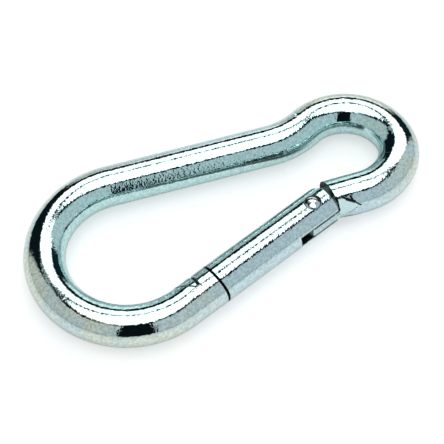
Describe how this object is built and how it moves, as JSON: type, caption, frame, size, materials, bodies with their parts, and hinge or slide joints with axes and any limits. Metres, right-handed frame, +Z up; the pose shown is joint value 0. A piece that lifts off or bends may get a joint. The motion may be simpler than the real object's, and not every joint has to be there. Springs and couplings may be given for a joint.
{
  "type": "snap hook",
  "caption": "Spring snap hook bent from round bar, with a wide bow, a small eye, and a sprung gate that turns inwards on a rivet and latches into a wedge notch.",
  "frame": {"origin": "middle of the length and width, at the lowest point of the part as it lies flat on its side", "axes": "+X from the wide bow to the small eye, +Y from the gate's side to the closed back arm, +Z up, square to the plane of the hook"},
  "size_m": [0.1022, 0.0504, 0.0104],
  "materials": {
    "body": "bright zinc plate",
    "gate": "bright zinc plate",
    "rivet": "bright zinc plate, peened",
    "spring": "drawn spring wire",
    "plunger": "turned steel"
  },
  "bodies": {
    "body": {"body": "body"},
    "gate": {"gate": "gate", "rivet": "rivet", "spring": "spring"},
    "plunger": {"plunger": "plunger"}
  },
  "joints": [
    {"name": "gate_hinge", "type": "hinge", "parent": "body", "child": "gate", "pos_m": [0.01738, -0.01144, 0.0052], "axis": [0, 0, -1], "range_deg": [0, 25], "stiffness_Nm_per_rad": 0.3, "springref_deg": -2.86},
    {"name": "plunger_slide", "type": "slide", "parent": "gate", "child": "plunger", "axis": [-0.9781, -0.2079, 0], "range_m": [0, 0.0009], "deforming": ["spring"]}
  ],
  "couplings": [
    {"joint": "plunger_slide", "follows": "gate_hinge", "m_per_rad": 0.002}
  ]
}
